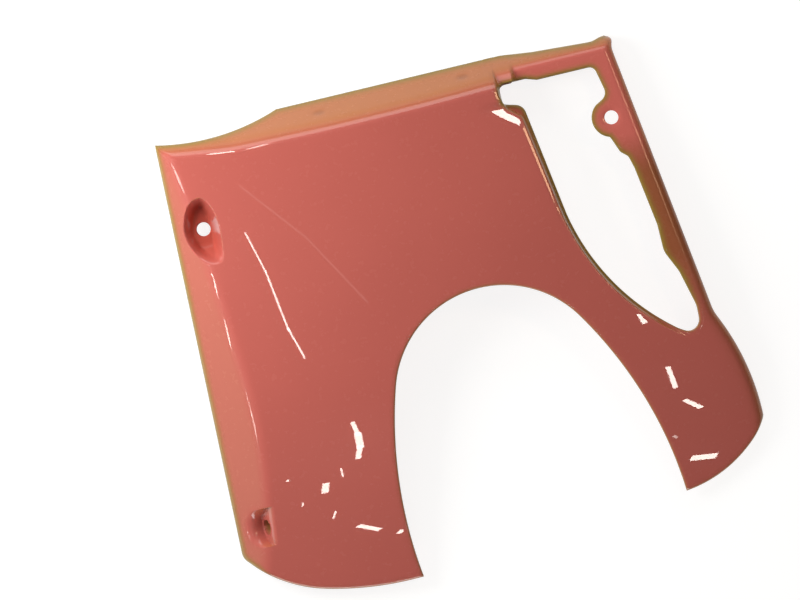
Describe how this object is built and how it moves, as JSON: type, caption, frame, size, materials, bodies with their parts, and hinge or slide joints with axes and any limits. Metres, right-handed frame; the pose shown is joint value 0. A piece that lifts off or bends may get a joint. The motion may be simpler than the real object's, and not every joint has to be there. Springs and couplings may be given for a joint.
{
  "type": "front inner fender panel",
  "caption": "Gloss painted moulded panel for the front of a scooter: a crowned face with folded flanges, a wheel arch below and an access opening with a set-back seat at one side.",
  "frame": {"origin": "middle of the panel's outline in plan, on the plane of the rims that it lies on", "axes": "+X along the top edge towards the access opening, +Y up towards the top edge, +Z out of the painted face"},
  "size_m": [0.312, 0.2828, 0.033],
  "materials": {
    "pink_paint": "salmon pink gloss paint on moulded plastic"
  },
  "bodies": {
    "root": {"inner_fender_panel": "pink_paint"}
  },
  "joints": []
}
